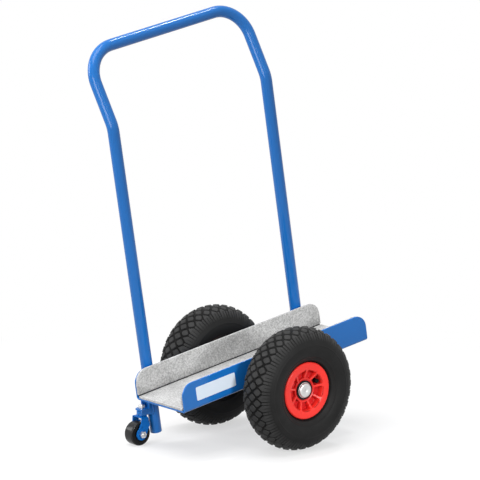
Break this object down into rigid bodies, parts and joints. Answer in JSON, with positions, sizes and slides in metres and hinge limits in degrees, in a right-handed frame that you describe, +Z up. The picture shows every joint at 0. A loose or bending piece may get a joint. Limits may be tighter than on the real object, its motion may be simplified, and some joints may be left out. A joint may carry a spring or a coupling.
{
  "type": "panel dolly",
  "caption": "Panel dolly: a felt-lined steel channel slung low between pneumatic wheels, with a bent-tube hoop handle and a swivel castor to stand on.",
  "frame": {"origin": "on the floor, under the middle of the dolly's bounding box", "axes": "+Z up; +X along the tray away from the castor; +Y to the side of the hoop handle"},
  "size_m": [0.5797, 0.361, 0.8961],
  "materials": {
    "blue_paint": "satin powder coat on steel",
    "felt": "grey needled felt, mottled",
    "tyre": "black rubber, block tread",
    "butyl": "smooth black rubber",
    "red_plastic": "moulded plastic, slightly glossy",
    "black_plastic": "moulded plastic",
    "castor_rubber": "hard rubber, worn smooth",
    "zinc": "bright zinc plate",
    "steel": "drawn steel, oiled"
  },
  "bodies": {
    "frame": {"tray": "blue_paint", "felt_floor": "felt", "felt_open_wall": "felt", "felt_hoop_wall": "felt", "hoop_handle": "blue_paint", "leg_welds": "blue_paint", "axle_tube": "blue_paint", "axle_tube_welds": "blue_paint", "axle": "steel", "left_inner_washer": "steel", "left_outer_washer": "black_plastic", "left_axle_cap": "zinc", "right_inner_washer": "steel", "right_outer_washer": "black_plastic", "right_axle_cap": "zinc", "castor_bracket": "blue_paint", "kingpin": "zinc", "kingpin_nut": "zinc", "swivel_cup": "blue_paint"},
    "left_wheel": {"left_tyre": "tyre", "left_inner_tube": "butyl", "left_rim": "red_plastic", "left_valve": "butyl"},
    "left_cage": {"left_roller_cage": "black_plastic", "left_rollers": "steel"},
    "right_wheel": {"right_tyre": "tyre", "right_inner_tube": "butyl", "right_rim": "red_plastic", "right_valve": "butyl"},
    "right_cage": {"right_roller_cage": "black_plastic", "right_rollers": "steel"},
    "castor_swivel": {"castor_fork": "blue_paint", "castor_bolt": "zinc", "castor_nut": "zinc", "castor_sleeve": "steel"},
    "castor_balls": {"swivel_balls": "steel"},
    "castor_wheel": {"castor_core": "black_plastic", "castor_tyre": "castor_rubber"}
  },
  "joints": [
    {"name": "left_wheel_spin", "type": "hinge", "parent": "frame", "child": "left_wheel", "pos_m": [0.0439, 0.138, 0.13], "axis": [0, 1, 0], "continuous": true},
    {"name": "left_cage_roll", "type": "hinge", "parent": "frame", "child": "left_cage", "pos_m": [0.0439, 0.138, 0.13], "axis": [0, 1, 0], "continuous": true},
    {"name": "right_wheel_spin", "type": "hinge", "parent": "frame", "child": "right_wheel", "pos_m": [0.0439, -0.138, 0.13], "axis": [0, 1, 0], "continuous": true},
    {"name": "right_cage_roll", "type": "hinge", "parent": "frame", "child": "right_cage", "pos_m": [0.0439, -0.138, 0.13], "axis": [0, 1, 0], "continuous": true},
    {"name": "castor_swivel", "type": "hinge", "parent": "frame", "child": "castor_swivel", "pos_m": [-0.18299, 0.0947, 0.06], "axis": [0, 0, 1], "range_deg": [-95, 85]},
    {"name": "castor_ball_roll", "type": "hinge", "parent": "frame", "child": "castor_balls", "pos_m": [-0.18299, 0.0947, 0.062], "axis": [0, 0, 1], "range_deg": [-48, 43]},
    {"name": "castor_wheel_spin", "type": "hinge", "parent": "castor_swivel", "child": "castor_wheel", "pos_m": [-0.19449, 0.0947, 0.025], "axis": [0, 1, 0], "continuous": true}
  ],
  "couplings": [
    {"joint": "left_cage_roll", "follows": "left_wheel_spin", "ratio": 0.6},
    {"joint": "right_cage_roll", "follows": "right_wheel_spin", "ratio": 0.6},
    {"joint": "castor_ball_roll", "follows": "castor_swivel", "ratio": 0.5}
  ]
}
